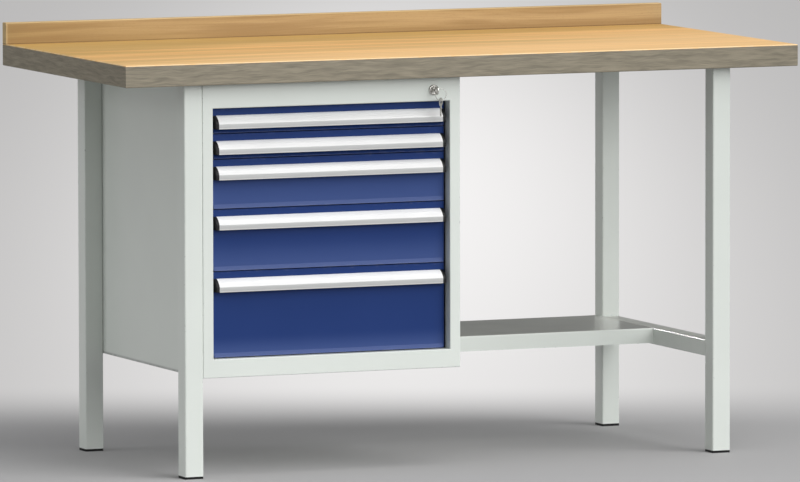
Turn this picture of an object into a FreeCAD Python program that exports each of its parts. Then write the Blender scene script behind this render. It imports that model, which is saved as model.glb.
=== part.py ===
"""Industrial workbench with a hanging five-drawer cabinet, in millimetres.

Origin on the floor under the middle of the bench, +X to the right, +Y to the rear, +Z up.
"""

import FreeCAD
import Part
import math
import os

V = FreeCAD.Vector
X, Y, Z = V(1, 0, 0), V(0, 1, 0), V(0, 0, 1)

# Worktop and upstand
bench_width = 1500.0
bench_depth = 700.0
bench_height = 850.0
top_thickness = 45.0
top_arris = 2.0
upstand_thickness = 20.0
upstand_height = 45.0

# Leg frames
leg_side = 40.0
leg_wall = 2.0
tube_corner = 3.0
side_overhang = 139.0
front_setback = 32.0
rear_setback = 70.0
top_bar_thickness = 5.0
foot_height = 5.0
foot_plug_height = 20.0
foot_plug_gap = 0.2
rail_height = 35.0

# Lower shelf, with its top above the cabinet's underside
shelf_rise = 30.0
shelf_depth = 300.0
shelf_flange = 32.0
shelf_sheet = 1.5
shelf_lip = 14.0
shelf_edge_radius = 2.5

# Hanging cabinet
cabinet_width = 570.0
cabinet_rear_gap = 18.0
sheet = 1.2
bend = 1.0
stile_width = 23.0
top_rail_width = 50.0
bottom_rail_width = 38.0
frame_depth = 25.0
frame_edge_radius = 1.8
rear_flange = 15.0
floor_flange = 8.0

# Drawer fronts, from the top down
front_heights = [50.0, 50.0, 100.0, 125.0, 175.0]
front_gap = 2.0
front_side_gap = 3.0
front_recess = 20.0
front_pan_depth = 18.0
front_corner = 6.0
front_back_flange = 12.0
band_height = 8.5
band_kick = 3.0

# Handle strip, measured down from the top of the drawer front
handle_drop = 14.0
handle_height = 27.0
handle_reach = 18.0
handle_lip = 11.0
handle_wall = 2.0
handle_crown = 2.2
handle_leg = 15.0
handle_side_gap = 4.0
handle_cap_width = 7.5

# Drawer trays
tray_sheet = 1.0
tray_lift = 2.0
tray_headroom = 4.0
tray_rear_gap = 47.0

# Telescopic runners
runner_height = 27.0
runner_sheet = 1.2
runner_lift = 2.0
runner_setback = 8.0
runner_end_gap = 7.0
runner_reach = 9.2
runner_play = 0.3
web_play = 0.6
tip_play = 0.5
opening_play = 0.8
post_width = 40.0
post_sheet = 1.5
post_behind_bar = 7.0
post_before_end = 20.0

# Lock, key and ring
lock_from_right = 59.5
lock_below_top = 27.0
rosette_radius = 11.0
rosette_thickness = 3.0
rosette_bevel = 1.0
barrel_radius = 9.0
barrel_length = 34.0
barrel_gap = 0.1
nut_flats = 24.0
nut_thickness = 5.0
plug_radius = 6.0
plug_gap = 0.06
plug_recess = 0.3
keyway_gap = 0.1
key_thickness = 1.8
key_bow_radius = 9.0
key_hole_radius = 4.5
key_shank = 6.0
key_length = 22.0
key_tip = 2.0
key_insert = 17.0
ring_radius = 12.0
ring_wire = 1.0
ring_tilt = 46.0
ring_drop = 0.6

# Central lock bar
bar_lift = 8.0
bar_thickness = 3.0
bar_width = 12.0
bar_beside_opening = 2.5
bar_behind_front = 1.0
cam_thickness = 2.5
cam_gap = 0.2
cam_hub_radius = 7.0
cam_tip_radius = 4.0
cam_pin_radius = 2.0
arm_gap = 2.3
arm_thickness = 3.0
arm_margin = 6.0
slot_gap = 0.3
hook_clearance = 2.5
hook_depth = 4.0
hook_height = 5.0
hook_over_runner = 2.0
lug_height = 5.0
lug_depth = 5.5
lug_over_hook = 1.5
lug_behind_hook = 1.5
guide_thickness = 3.0
guide_margin = 4.0
guide_gap = 0.3
guide_past_opening = 2.0
bar_past_guide = 3.0

# Screws and bolts
screw_radius = 3.0
screw_head_radius = 6.0
screw_head_height = 4.0
screw_bite = 30.0
upstand_bite = 30.0
bolt_radius = 4.0
bolt_flats = 13.0
bolt_head_height = 5.0
bolt_bite = 12.0
hole_gap = 0.05

# Places worked out from the sizes: worktop and legs
worktop_under = bench_height - top_thickness
right_end = bench_width / 2
front_edge = -bench_depth / 2
rear_edge = bench_depth / 2
leg_out = right_end - side_overhang
leg_in = leg_out - leg_side
leg_front = front_edge + front_setback
leg_rear = rear_edge - rear_setback
leg_head = worktop_under - top_bar_thickness

# Cabinet
cabinet_left = -leg_in
cabinet_right = cabinet_left + cabinet_width
cabinet_middle = (cabinet_left + cabinet_right) / 2
cabinet_front = leg_front
cabinet_rear = leg_rear - cabinet_rear_gap
cabinet_top = worktop_under
inner_left = cabinet_left + sheet
inner_right = cabinet_right - sheet
opening_top = cabinet_top - top_rail_width
opening_bottom = opening_top - sum(front_heights) - front_gap * (len(front_heights) + 1)
cabinet_bottom = opening_bottom - bottom_rail_width
opening_left = cabinet_left + stile_width
opening_right = cabinet_right - stile_width
frame_rear = cabinet_front + frame_depth
back_y = (cabinet_rear - 2 * sheet, cabinet_rear - sheet)
shelf_top = cabinet_bottom + shelf_rise

# Drawers and runners, on the right side
front_face = cabinet_front + front_recess
front_back = front_face + front_pan_depth
middle_out = opening_right - opening_play
fixed_in = middle_out + web_play
fixed_out = fixed_in + runner_sheet
runner_tip = middle_out - runner_reach
tray_right = runner_tip - tip_play - runner_sheet
tray_left = 2 * cabinet_middle - tray_right
tray_rear = cabinet_rear - tray_rear_gap
runner_front = front_back + runner_setback
runner_rear = tray_rear - runner_end_gap

# Lock and lock bar
lock_x = cabinet_right - lock_from_right
lock_z = cabinet_top - lock_below_top
rosette_front = cabinet_front - rosette_thickness
barrel_rear = cabinet_front + barrel_length
cam_front = barrel_rear + cam_gap
cam_rear = cam_front + cam_thickness
bow_centre = V(lock_x, rosette_front + key_insert - key_length - key_bow_radius, lock_z)
bar_front = max(front_back + bar_behind_front, cam_rear + arm_gap)
bar_rear = bar_front + bar_width
bar_x = (opening_right + bar_beside_opening, opening_right + bar_beside_opening + bar_thickness)
guide_high = opening_top + guide_past_opening
guide_low = opening_bottom - guide_past_opening - guide_thickness

nodes = {}


def span(start, size):
    """The limits that start at a place and have a size."""
    return start, start + size


def inset(limits, amount):
    """Limits drawn in by an amount at both ends."""
    return limits[0] + amount, limits[1] - amount


def block(x, y, z):
    """A box between the limits along each axis."""
    return Part.makeBox(x[1] - x[0], y[1] - y[0], z[1] - z[0], V(x[0], y[0], z[0]))


def edges_along(shape, axis):
    """The straight edges of a shape that run along an axis."""
    straight = [e for e in shape.Edges if isinstance(e.Curve, Part.Line)]
    return [e for e in straight if abs(e.Curve.Direction.dot(axis)) > 0.999]


def edges_at(edges, axis, place):
    """Those edges whose middle lies at a place along an axis."""
    return [e for e in edges if abs(e.BoundBox.Center.dot(axis) - place) < 1e-4]


def rounded_block(x, y, z, axis, radius):
    """A box whose four edges along an axis are rounded."""
    shape = block(x, y, z)
    return shape.makeFillet(radius, edges_along(shape, axis))


def square_tube(x, y, z, axis, wall):
    """A rectangular tube with rounded corners, open at both ends of an axis."""
    thin = [wall * (1 - abs(axis.dot(d))) for d in (X, Y, Z)]
    hollow = [inset(limits, t) for limits, t in zip((x, y, z), thin)]
    return rounded_block(x, y, z, axis, tube_corner).cut(rounded_block(*hollow, axis, tube_corner - wall))


def rod(start, direction, radius, length):
    """A round bar from a point, along a direction."""
    return Part.makeCylinder(radius, length, start, direction)


def hexagon(start, direction, flats, length):
    """A hexagonal bar from a point, along a level direction."""
    across = Z.cross(direction)
    reach = flats / math.sqrt(3)
    corners = []
    for step in range(7):
        angle = math.radians(60 * step)
        corners.append(start + Z * (reach * math.cos(angle)) + across * (reach * math.sin(angle)))
    return Part.Face(Part.makePolygon(corners)).extrude(direction * length)


def in_plan(z):
    """Places (x, y) points at a height."""
    return lambda u, v: V(u, v, z)


def in_side_view(x):
    """Places (y, z) points at a distance to the right."""
    return lambda u, v: V(x, u, v)


def in_front_view(y):
    """Places (x, z) points at a depth."""
    return lambda u, v: V(u, y, v)


def prism(points, place, sweep):
    """The solid that a closed outline of straight edges sweeps."""
    corners = [place(u, v) for u, v in points]
    return Part.Face(Part.makePolygon(corners + corners[:1])).extrude(sweep)


def traced(edges, sweep):
    """The solid that a closed outline of lines and arcs sweeps."""
    return Part.Face(Part.Wire(Part.__sortEdges__(edges))).extrude(sweep)


def fold_path(path, thickness, outside, place):
    """Lines and arcs along one face of a folded sheet, through (corner, run before, run after) entries."""
    edges = []
    point = path[0][0]
    for corner, before, after in path[1:-1]:
        outer_arc = (before.cross(after).z > 0) == outside
        radius = bend + thickness * outer_arc
        half_turn = before.getAngle(after) / 2
        start = corner - before * (radius * math.tan(half_turn))
        end = corner + after * (radius * math.tan(half_turn))
        middle = corner + (after - before).normalize() * (radius / math.cos(half_turn) - radius)
        edges.append(Part.makeLine(place(point.x, point.y), place(start.x, start.y)))
        edges.append(Part.Arc(*[place(p.x, p.y) for p in (start, middle, end)]).toShape())
        point = end
    last = path[-1][0]
    edges.append(Part.makeLine(place(point.x, point.y), place(last.x, last.y)))
    return edges


def folded(corners, thickness, place, sweep):
    """A folded sheet: its corners run along its outer face, with the sheet on their left."""
    corners = [V(u, v, 0) for u, v in corners]
    runs = [(b - a).normalize() for a, b in zip(corners, corners[1:])]
    outer = list(zip(corners, runs[:1] + runs, runs + runs[-1:]))
    inner = []
    for corner, before, after in outer:
        left = Z.cross(before) + Z.cross(after)
        inner.append((corner + left * (2 * thickness / left.dot(left)), before, after))
    edges = fold_path(outer, thickness, True, place) + fold_path(inner, thickness, False, place)
    for end in (0, -1):
        a, b = outer[end][0], inner[end][0]
        edges.append(Part.makeLine(place(a.x, a.y), place(b.x, b.y)))
    return traced(edges, sweep)


def mirrored(shape):
    """The same piece on the other side of the cabinet."""
    return shape.mirror(V(cabinet_middle, 0, 0), X)


def group(solids):
    """Like pieces under one name."""
    return Part.makeCompound(solids)


# Screws through the leg bars and the cabinet's top into the worktop, and from below into the upstand.
screw_places = []
for screw_x in (-(leg_in + leg_out) / 2, (leg_in + leg_out) / 2):
    for screw_y in (leg_front + 2.5 * leg_side, (leg_front + leg_rear) / 2, leg_rear - 2.5 * leg_side):
        screw_places.append((screw_x, screw_y, leg_head, worktop_under + screw_bite))
for screw_x in (opening_left + stile_width, opening_right - stile_width):
    for screw_y in (frame_rear + 2 * stile_width, cabinet_rear - 2 * stile_width):
        screw_places.append((screw_x, screw_y, cabinet_top - sheet, worktop_under + screw_bite))
for share in (-0.45, -0.15, 0.15, 0.45):
    upstand_seat = worktop_under + screw_head_height
    screw_places.append(
        (bench_width * share, rear_edge - upstand_thickness / 2, upstand_seat, bench_height + upstand_bite)
    )


def wood_screws(gap):
    """Screws that point up, each with its head under its seat; a gap turns them into drilled holes."""
    screws = []
    for x, y, seat, tip in screw_places:
        shank = rod(V(x, y, seat), Z, screw_radius + gap, tip - seat + gap)
        head = rod(V(x, y, seat - screw_head_height), Z, screw_head_radius + gap, screw_head_height)
        screws.append(shank.fuse(head))
    return group(screws)


screw_holes = wood_screws(hole_gap)
nodes["wood_screws"] = wood_screws(0)

# Bolts: four from inside the cabinet into the left legs, four from under the shelf into its two ends.
bolt_places = []
front_bolt_y = (frame_rear + leg_front + leg_side - leg_wall) / 2
rear_bolt_y = (leg_rear - leg_side + leg_wall + back_y[0]) / 2
for bolt_y in (front_bolt_y, rear_bolt_y):
    for bolt_z in (opening_bottom + bottom_rail_width, opening_top - bottom_rail_width):
        bolt_places.append((V(inner_left, bolt_y, bolt_z), -X))
for bolt_y in (leg_rear - 0.25 * shelf_depth, leg_rear - 0.75 * shelf_depth):
    bolt_z = shelf_top - shelf_flange / 2
    bolt_places.append((V(cabinet_right + shelf_sheet, bolt_y, bolt_z), -X))
    bolt_places.append((V(leg_in - shelf_sheet, bolt_y, bolt_z), X))
bolts = []
bolt_holes = []
for seat, way in bolt_places:
    head = hexagon(seat - way * bolt_head_height, way, bolt_flats, bolt_head_height)
    bolts.append(head.fuse(rod(seat, way, bolt_radius, bolt_bite)))
    bolt_holes.append(rod(seat, way, bolt_radius + hole_gap, bolt_bite + hole_gap))
bolt_holes = group(bolt_holes)
nodes["frame_bolts"] = group(bolts)


def worktop():
    """The board, with its top and bottom arrises eased at the front and both ends."""
    shape = block((-right_end, right_end), (front_edge, rear_edge), (worktop_under, bench_height))
    eased = edges_at(edges_along(shape, X), Y, front_edge) + edges_along(shape, Y)
    return shape.makeFillet(top_arris, eased).cut(screw_holes)


def rear_upstand():
    """The strip along the rear edge of the board, eased along its top."""
    top = bench_height + upstand_height
    shape = block((-right_end, right_end), (rear_edge - upstand_thickness, rear_edge), (bench_height, top))
    eased = edges_at(edges_along(shape, X) + edges_along(shape, Y), Z, top)
    return shape.makeFillet(top_arris, eased).cut(screw_holes)


nodes["worktop"] = worktop()
nodes["rear_upstand"] = rear_upstand()

# Legs with foot caps and head bars
leg_spans_x = {"left": (-leg_out, -leg_in), "right": (leg_in, leg_out)}
leg_spans_y = {"front": span(leg_front, leg_side), "rear": span(leg_rear - leg_side, leg_side)}
foot_caps = []
for end, leg_y in leg_spans_y.items():
    for side, leg_x in leg_spans_x.items():
        tube = square_tube(leg_x, leg_y, (foot_height, leg_head), Z, leg_wall)
        nodes[f"{end}_{side}_leg"] = tube.cut(bolt_holes)
        base = rounded_block(leg_x, leg_y, (0, foot_height), Z, tube_corner)
        fit = leg_wall + foot_plug_gap
        plug = block(inset(leg_x, fit), inset(leg_y, fit), span(foot_height, foot_plug_height))
        plug = plug.makeChamfer(tube_corner, edges_along(plug, Z))
        foot_caps.append(base.fuse(plug))
nodes["foot_caps"] = group(foot_caps)

head_bars = []
for leg_x in leg_spans_x.values():
    bar = rounded_block(leg_x, (leg_front, leg_rear), (leg_head, worktop_under), Z, tube_corner)
    head_bars.append(bar.cut(screw_holes))
nodes["leg_head_bars"] = group(head_bars)

# Cross rail between the right legs, with its top level with the shelf
rail_y = (leg_front + leg_side, leg_rear - leg_side)
rail = square_tube((leg_in, leg_out), rail_y, (shelf_top - rail_height, shelf_top), Y, leg_wall)
nodes["right_cross_rail"] = rail.cut(bolt_holes)


def lower_shelf():
    """A folded pan with its flanges down, and a lip turned in under the front and rear flanges."""
    x = (cabinet_right, leg_in)
    y = (leg_rear - shelf_depth, leg_rear)
    z = (shelf_top - shelf_flange, shelf_top)
    shape = block(x, y, z)
    shape = shape.makeFillet(shelf_edge_radius, edges_at(edges_along(shape, X), Z, z[1]))
    under = block(inset(x, shelf_sheet), inset(y, shelf_sheet), (z[0], z[1] - shelf_sheet))
    rounded = shelf_edge_radius - shelf_sheet
    under = under.makeFillet(rounded, edges_at(edges_along(under, X), Z, z[1] - shelf_sheet))
    shape = shape.cut(under)
    for edge in (y[0] + shelf_sheet, y[1] - shelf_lip):
        lip = block(inset(x, shelf_sheet), span(edge, shelf_lip - shelf_sheet), span(z[0], shelf_sheet))
        shape = shape.fuse(lip)
    return shape.cut(bolt_holes).removeSplitter()


nodes["lower_shelf"] = lower_shelf()


def front_frame():
    """The cabinet's face: stiles and rails of one channel section, returned around the drawer opening."""
    x, z = (cabinet_left, cabinet_right), (cabinet_bottom, cabinet_top)
    y = (cabinet_front, frame_rear)
    opening_x, opening_z = (opening_left, opening_right), (opening_bottom, opening_top)
    pan = block(x, y, z).cut(block(inset(x, sheet), (cabinet_front + sheet, frame_rear), inset(z, sheet)))
    returns = block(inset(opening_x, -sheet), y, inset(opening_z, -sheet))
    shape = pan.fuse(returns).cut(block(opening_x, y, opening_z)).removeSplitter()
    face_edges = edges_at(edges_along(shape, X) + edges_along(shape, Z), Y, cabinet_front)
    shape = shape.makeFillet(frame_edge_radius, face_edges)
    lock_hole = rod(V(lock_x, cabinet_front, lock_z), Y, barrel_radius + barrel_gap, sheet)
    return shape.cut(lock_hole)


def side_panel():
    """The left side: a sheet from the frame to the rear, with a flange turned in behind the back."""
    corners = [
        (cabinet_left + rear_flange, cabinet_rear),
        (cabinet_left, cabinet_rear),
        (cabinet_left, frame_rear),
    ]
    return folded(corners, sheet, in_plan(cabinet_bottom), Z * (cabinet_top - cabinet_bottom))


# Cabinet shell
back_x = (inner_left + bend, inner_right - bend)
pan_sweep = Y * (back_y[0] - bend - frame_rear)
floor_corners = [
    (inner_left, cabinet_bottom + floor_flange),
    (inner_left, cabinet_bottom),
    (inner_right, cabinet_bottom),
    (inner_right, cabinet_bottom + floor_flange),
]
top_corners = [
    (inner_right, cabinet_top - floor_flange),
    (inner_right, cabinet_top),
    (inner_left, cabinet_top),
    (inner_left, cabinet_top - floor_flange),
]
nodes["cabinet_front_frame"] = front_frame()
nodes["cabinet_left_side"] = side_panel().cut(bolt_holes)
nodes["cabinet_right_side"] = mirrored(side_panel()).cut(bolt_holes)
nodes["cabinet_back"] = block(back_x, back_y, (cabinet_bottom, cabinet_top))
nodes["cabinet_floor"] = folded(floor_corners, sheet, in_front_view(frame_rear), pan_sweep).cut(bolt_holes)
nodes["cabinet_top"] = folded(top_corners, sheet, in_front_view(frame_rear), pan_sweep).cut(screw_holes)

# Posts that carry the runners, a front and a rear one on each side
post_front_y = bar_rear + post_behind_bar
post_rear_y = runner_rear - post_before_end - post_width
posts = []
for post_y in (post_front_y, post_rear_y):
    corners = [
        (inner_right, post_y + post_width),
        (fixed_out, post_y + post_width),
        (fixed_out, post_y),
        (inner_right, post_y),
    ]
    post = folded(corners, post_sheet, in_plan(opening_bottom), Z * (opening_top - opening_bottom))
    posts += [post, mirrored(post)]
nodes["runner_posts"] = group(posts)


def runner_pair(web_x, tip_x, middle_z, height):
    """A telescopic member on each side: a channel between the places of its web and of its flanges' tips."""
    low, high = middle_z - height / 2, middle_z + height / 2
    ends = (low, high) if web_x > tip_x else (high, low)
    corners = [(tip_x, ends[0]), (web_x, ends[0]), (web_x, ends[1]), (tip_x, ends[1])]
    length = runner_rear - runner_front
    member = folded(corners, runner_sheet, in_front_view(runner_front), Y * length)
    return [member, mirrored(member)]


def drawer_front(bottom, height):
    """A folded pan with rounded upright edges, a band kicked out along its foot and flanges behind."""
    x = inset((opening_left, opening_right), front_side_gap)
    y = (front_face, front_back)
    z = span(bottom, height)
    shape = block(x, y, z)
    shape = shape.makeFillet(front_corner, edges_at(edges_along(shape, Z), Y, front_face))
    wedge = [(front_face, bottom + band_height), (front_face - band_kick, bottom), (front_face, bottom)]
    band_x = inset(x, front_corner)
    shape = shape.fuse(prism(wedge, in_side_view(band_x[0]), X * (band_x[1] - band_x[0])))
    hollow = block(inset(x, sheet), inset(y, sheet), inset(z, sheet))
    rounded = edges_at(edges_along(hollow, Z), Y, front_face + sheet)
    hollow = hollow.makeFillet(front_corner - sheet, rounded)
    window_x, window_z = inset(x, front_back_flange), inset(z, front_back_flange)
    window = block(window_x, (front_back - sheet, front_back), window_z)
    return shape.cut(hollow).cut(window).removeSplitter()


def drawer_tray(bottom, height):
    """An open sheet tray, with the catch for the lock bar on its right side."""
    x = (tray_left, tray_right)
    y = (front_back, tray_rear)
    z = (bottom + tray_lift, bottom + height - tray_headroom)
    shape = block(x, y, z)
    shape = shape.makeFillet(bend + tray_sheet, edges_at(edges_along(shape, Y), Z, z[0]))
    inside = block(inset(x, tray_sheet), inset(y, tray_sheet), (z[0] + tray_sheet, z[1]))
    inside = inside.makeFillet(bend, edges_at(edges_along(inside, Y), Z, z[0] + tray_sheet))
    lug_y = span(bar_front + hook_depth + lug_behind_hook, lug_depth)
    lug_z = span(hook_bottom(bottom) + hook_height + lug_over_hook, lug_height)
    lug = block((tray_right, opening_right - front_side_gap), lug_y, lug_z)
    return shape.cut(inside).fuse(lug)


def hook_bottom(bottom):
    """The height of the lock bar's hook for the drawer whose front starts at a height."""
    return bottom + runner_lift + runner_height + hook_over_runner


def handle_point(drawer_top, reach, drop):
    """A point of the handle's section, by its reach before the drawer front and its drop below the top."""
    return front_face - reach, drawer_top - handle_drop - drop


def arc_or_line(points, place):
    """One edge of an outline: a line through two points, or an arc through three."""
    ends = [place(u, v) for u, v in points]
    return Part.makeLine(*ends) if len(ends) == 2 else Part.Arc(*ends).toShape()


def handle_outline(drawer_top, solid):
    """The edges of the handle's section, or of the end cap that closes it.

    The sloping top is an arc with the crown as its height over the chord. Under it the strip has the lip in
    front and a leg against the drawer front, with the finger gap between them.
    """
    fall = handle_height - handle_lip
    slope = fall / handle_reach
    chord = math.hypot(handle_reach, fall)
    crown_reach, crown_drop = handle_crown * fall / chord, -handle_crown * handle_reach / chord
    crown = (handle_reach / 2 + crown_reach, fall / 2 + crown_drop)
    top = [[(0, 0), crown, (handle_reach, fall)], [(handle_reach, fall), (handle_reach, handle_height)]]
    if solid:
        rest = [(handle_reach, handle_height), (band_kick, handle_height), (0, handle_leg), (0, 0)]
        runs = top + [list(pair) for pair in zip(rest, rest[1:])]
    else:
        depth = handle_wall * math.hypot(1, slope)
        inner_lip = handle_reach - handle_wall
        share = (inner_lip - handle_wall) / handle_reach
        high, low = (handle_wall, slope * handle_wall + depth), (inner_lip, slope * inner_lip + depth)
        bow = share * share
        under = ((high[0] + low[0]) / 2 + bow * crown_reach, (high[1] + low[1]) / 2 + bow * crown_drop)
        lip = [(handle_reach, handle_height), (inner_lip, handle_height), low]
        leg = [high, (handle_wall, handle_leg), (0, handle_leg), (0, 0)]
        runs = top + [list(pair) for pair in zip(lip, lip[1:])] + [[low, under, high]]
        runs += [list(pair) for pair in zip(leg, leg[1:])]
    return [[handle_point(drawer_top, *point) for point in run] for run in runs]


def handle_piece(drawer_top, x, solid):
    """A length of the handle's section, hollow for the strip and solid for an end cap."""
    edges = [arc_or_line(run, in_side_view(x[0])) for run in handle_outline(drawer_top, solid)]
    return traced(edges, X * (x[1] - x[0]))


# Drawers, from the top down, each with its handle and runners
handle_x = inset((opening_left, opening_right), front_side_gap + handle_side_gap)
strip_x = inset(handle_x, handle_cap_width)
cap_spans = ((handle_x[0], strip_x[0]), (strip_x[1], handle_x[1]))
fixed_runners = []
front_bottoms = []
drawer_top = opening_top - front_gap
for number, front_height in enumerate(front_heights, start=1):
    bottom = drawer_top - front_height
    front_bottoms.append(bottom)
    nodes[f"drawer_{number}_front"] = drawer_front(bottom, front_height)
    nodes[f"drawer_{number}_tray"] = drawer_tray(bottom, front_height)
    nodes[f"drawer_{number}_handle"] = handle_piece(drawer_top, strip_x, False)
    nodes[f"drawer_{number}_handle_caps"] = group([handle_piece(drawer_top, x, True) for x in cap_spans])
    runner_middle = bottom + runner_lift + runner_height / 2
    middle_height = runner_height - 2 * (runner_sheet + runner_play)
    drawer_height = middle_height - 2 * (runner_sheet + runner_play)
    inner_tip = middle_out - runner_sheet - tip_play
    fixed_runners += runner_pair(fixed_out, runner_tip, runner_middle, runner_height)
    middle_runners = runner_pair(middle_out, runner_tip, runner_middle, middle_height)
    drawer_runners = runner_pair(tray_right, inner_tip, runner_middle, drawer_height)
    nodes[f"middle_runners_{number}"] = group(middle_runners)
    nodes[f"drawer_{number}_runners"] = group(drawer_runners)
    drawer_top = bottom - front_gap
nodes["fixed_runners"] = group(fixed_runners)

# Lock barrel with its rosette, held by a nut behind the frame's face
lock_front = V(lock_x, rosette_front, lock_z)
rosette = rod(lock_front, Y, rosette_radius, rosette_thickness)
rosette = rosette.makeChamfer(rosette_bevel, edges_at(rosette.Edges, Y, rosette_front))
barrel = rosette.fuse(rod(V(lock_x, cabinet_front, lock_z), Y, barrel_radius, barrel_length))
plug_bore = rod(lock_front, Y, plug_radius + plug_gap, rosette_thickness + barrel_length)
nodes["lock_cylinder"] = barrel.cut(plug_bore)
nut_start = V(lock_x, cabinet_front + sheet, lock_z)
nut = hexagon(nut_start, Y, nut_flats, nut_thickness)
nodes["lock_nut"] = nut.cut(rod(nut_start, Y, barrel_radius + barrel_gap, nut_thickness))


def key_blank():
    """A flat key with its bow's middle at the origin and its blade along +Y."""
    disc = rod(-X * (key_thickness / 2), X, key_bow_radius, key_thickness)
    half = key_shank / 2
    root = (key_bow_radius + key_hole_radius) / 2
    tip = key_bow_radius + key_length
    outline = [(root, -half), (tip - key_tip, -half), (tip, key_tip - half)]
    outline += [(tip, half - key_tip), (tip - key_tip, half), (root, half)]
    blade = prism(outline, in_side_view(-key_thickness / 2), X * key_thickness)
    hole = rod(-X * key_thickness, X, key_hole_radius, 2 * key_thickness)
    return disc.fuse(blade).cut(hole).removeSplitter()


# Plug that turns in the barrel, the key in it and the cam on its rear end
plug_front = rosette_front + plug_recess
plug = rod(V(lock_x, plug_front, lock_z), Y, plug_radius, cam_front - plug_front)
keyway_half = V(key_thickness / 2 + keyway_gap, 0, key_shank / 2 + keyway_gap)
keyway = block(
    inset((lock_x, lock_x), -keyway_half.x),
    (plug_front, rosette_front + key_insert + keyway_gap),
    inset((lock_z, lock_z), -keyway_half.z),
)
key = key_blank()
key.translate(bow_centre)
nodes["lock_plug"] = plug.cut(keyway)
nodes["key"] = key

cam_axis = V(lock_x, cam_front, lock_z)
cam_pin = cam_axis + X * bar_lift
web = block((lock_x, cam_pin.x), (cam_front, cam_rear), inset((lock_z, lock_z), -cam_tip_radius))
cam = rod(cam_axis, Y, cam_hub_radius, cam_thickness).fuse(rod(cam_pin, Y, cam_tip_radius, cam_thickness))
pin_length = bar_front + arm_thickness + slot_gap - cam_front
cam = cam.fuse(web).fuse(rod(cam_pin, Y, cam_pin_radius, pin_length))
nodes["lock_cam"] = cam.removeSplitter()

# Ring of flat wire through the key's bow, leaning so that the bow can turn inside it
lean = math.radians(ring_tilt)
ring_centre = bow_centre + V(math.sin(lean), 0, -math.cos(lean)) * (ring_radius + ring_drop)
ring_front = ring_centre - Y * (ring_wire / 2)
ring_outside = rod(ring_front, Y, ring_radius + ring_wire / 2, ring_wire)
nodes["key_ring"] = ring_outside.cut(rod(ring_front, Y, ring_radius - ring_wire / 2, ring_wire))


def lock_bar():
    """The upright bar that the cam lifts, with an arm around the cam's pin and a hook for each drawer."""
    angle = math.acos(2 / math.pi)
    cam_lead = bar_lift * (math.sin(angle) - 2 * angle / math.pi)
    play = cam_pin_radius + slot_gap
    slot_x = (lock_x - play, cam_pin.x + play)
    slot_z = (lock_z - play, lock_z + cam_lead + play)
    arm_z = inset(slot_z, -arm_margin)
    arm_y = span(bar_front, arm_thickness)
    bar_z = (guide_low - bar_past_guide, arm_z[1])
    shape = block(bar_x, (bar_front, bar_rear), bar_z)
    shape = shape.fuse(block((slot_x[0] - arm_margin, bar_x[0]), arm_y, arm_z))
    shape = shape.cut(block(slot_x, arm_y, slot_z))
    for bottom in front_bottoms:
        hook_x = (tray_right + hook_clearance, bar_x[0])
        hook = block(hook_x, span(bar_front, hook_depth), span(hook_bottom(bottom), hook_height))
        shape = shape.fuse(hook)
    return shape.removeSplitter()


nodes["lock_bar"] = lock_bar()

# Guides for the bar, above and below the drawers, on the right side of the cabinet
guides = []
for guide_z in (guide_low, guide_high):
    plate_z = span(guide_z, guide_thickness)
    plate = block((opening_right, inner_right), inset((bar_front, bar_rear), -guide_margin), plate_z)
    bar_hole = block(inset(bar_x, -guide_gap), inset((bar_front, bar_rear), -guide_gap), plate_z)
    guides.append(plate.cut(bar_hole))
nodes["lock_bar_guides"] = group(guides)

os.makedirs("parts", exist_ok=True)
for name, shape in nodes.items():
    shape.exportStep(f"parts/{name}.step")
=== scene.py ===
import math

import bmesh
import bpy
import numpy as np
from mathutils import Matrix, Vector


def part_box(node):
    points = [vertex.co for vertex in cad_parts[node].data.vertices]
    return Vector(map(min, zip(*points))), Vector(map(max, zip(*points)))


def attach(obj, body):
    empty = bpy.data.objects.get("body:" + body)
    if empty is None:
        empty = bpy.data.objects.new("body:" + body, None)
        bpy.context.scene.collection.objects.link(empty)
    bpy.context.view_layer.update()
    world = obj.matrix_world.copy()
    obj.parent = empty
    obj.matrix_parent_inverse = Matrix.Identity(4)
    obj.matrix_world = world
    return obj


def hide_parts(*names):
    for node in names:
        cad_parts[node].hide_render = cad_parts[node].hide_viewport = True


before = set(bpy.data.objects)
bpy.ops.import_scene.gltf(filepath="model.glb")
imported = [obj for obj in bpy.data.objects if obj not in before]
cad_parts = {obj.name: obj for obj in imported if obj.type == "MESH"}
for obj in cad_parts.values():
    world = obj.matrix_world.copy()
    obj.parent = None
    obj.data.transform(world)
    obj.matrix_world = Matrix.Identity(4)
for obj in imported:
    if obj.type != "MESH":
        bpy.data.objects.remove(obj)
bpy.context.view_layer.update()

# Leg frames: square mild-steel tube of 40 by 40 by 2 mm, with a flat bar across each pair of heads
# and a rail between the right legs. They are welded, and powder coated light grey as one piece.


def wire(tree, kind, inputs=None, **settings):
    """A shader node: its settings by name, its inputs linked from sockets or set to plain values."""
    made = tree.nodes.new(kind)
    for name, value in settings.items():
        setattr(made, name, value)
    for key, value in (inputs or {}).items():
        if isinstance(value, bpy.types.NodeSocket):
            tree.links.new(value, made.inputs[key])
        else:
            made.inputs[key].default_value = value
    return made


def reckon(tree, operation, a, b=0.0):
    """One step of arithmetic on two values."""
    return wire(tree, "ShaderNodeMath", {0: a, 1: b}, operation=operation).outputs[0]


def times(tree, a, b):
    """The product of two values."""
    return reckon(tree, "MULTIPLY", a, b)


def reckon_places(tree, operation, a, b=(0.0, 0.0, 0.0)):
    """One step of arithmetic on two places, axis by axis."""
    return wire(tree, "ShaderNodeVectorMath", {0: a, 1: b}, operation=operation).outputs[0]


def axes(tree, place):
    """The X, Y and Z of a place."""
    return wire(tree, "ShaderNodeSeparateXYZ", {0: place}).outputs


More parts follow.
